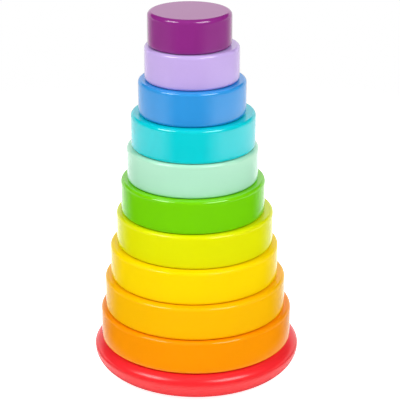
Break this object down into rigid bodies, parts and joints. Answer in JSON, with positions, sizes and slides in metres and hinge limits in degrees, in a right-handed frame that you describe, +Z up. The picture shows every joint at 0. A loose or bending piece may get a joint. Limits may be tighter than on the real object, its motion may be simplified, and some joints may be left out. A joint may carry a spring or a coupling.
{
  "type": "stacking tower",
  "caption": "Wooden rainbow stacking tower: lacquered rings and a cap that thread on a dowel post in a round base, growing smaller towards the top.",
  "frame": {"origin": "middle of the base's underside, on the floor", "axes": "+Z up along the post; -Y towards the viewer of the picture, +X to that viewer's right"},
  "size_m": [0.1246, 0.1246, 0.221],
  "materials": {
    "red_lacquer": "satin",
    "bare_beech": "matte",
    "orange_lacquer": "gloss",
    "amber_lacquer": "gloss",
    "yellow_lacquer": "gloss",
    "lime_lacquer": "gloss",
    "green_lacquer": "gloss",
    "mint_lacquer": "gloss",
    "turquoise_lacquer": "gloss",
    "blue_lacquer": "gloss",
    "lavender_lacquer": "gloss",
    "purple_lacquer": "gloss"
  },
  "bodies": {
    "base": {"base_plate": "red_lacquer", "post": "bare_beech"},
    "orange": {"orange_ring": "orange_lacquer"},
    "amber": {"amber_ring": "amber_lacquer"},
    "yellow": {"yellow_ring": "yellow_lacquer"},
    "lime": {"lime_ring": "lime_lacquer"},
    "green": {"green_ring": "green_lacquer"},
    "mint": {"mint_ring": "mint_lacquer"},
    "turquoise": {"turquoise_ring": "turquoise_lacquer"},
    "blue": {"blue_ring": "blue_lacquer"},
    "lavender": {"lavender_ring": "lavender_lacquer"},
    "cap": {"purple_cap": "purple_lacquer"}
  },
  "joints": [
    {"name": "orange_lift", "type": "slide", "parent": "base", "child": "orange", "axis": [0, 0, 1], "range_m": [0, 0.1967]},
    {"name": "amber_lift", "type": "slide", "parent": "orange", "child": "amber", "axis": [0, 0, 1], "range_m": [0, 0.1764]},
    {"name": "yellow_lift", "type": "slide", "parent": "amber", "child": "yellow", "axis": [0, 0, 1], "range_m": [0, 0.1561]},
    {"name": "lime_lift", "type": "slide", "parent": "yellow", "child": "lime", "axis": [0, 0, 1], "range_m": [0, 0.1358]},
    {"name": "green_lift", "type": "slide", "parent": "lime", "child": "green", "axis": [0, 0, 1], "range_m": [0, 0.1155]},
    {"name": "mint_lift", "type": "slide", "parent": "green", "child": "mint", "axis": [0, 0, 1], "range_m": [0, 0.0952]},
    {"name": "turquoise_lift", "type": "slide", "parent": "mint", "child": "turquoise", "axis": [0, 0, 1], "range_m": [0, 0.0749]},
    {"name": "blue_lift", "type": "slide", "parent": "turquoise", "child": "blue", "axis": [0, 0, 1], "range_m": [0, 0.0546]},
    {"name": "lavender_lift", "type": "slide", "parent": "blue", "child": "lavender", "axis": [0, 0, 1], "range_m": [0, 0.0343]},
    {"name": "cap_lift", "type": "slide", "parent": "lavender", "child": "cap", "axis": [0, 0, 1], "range_m": [0, 0.014]}
  ]
}
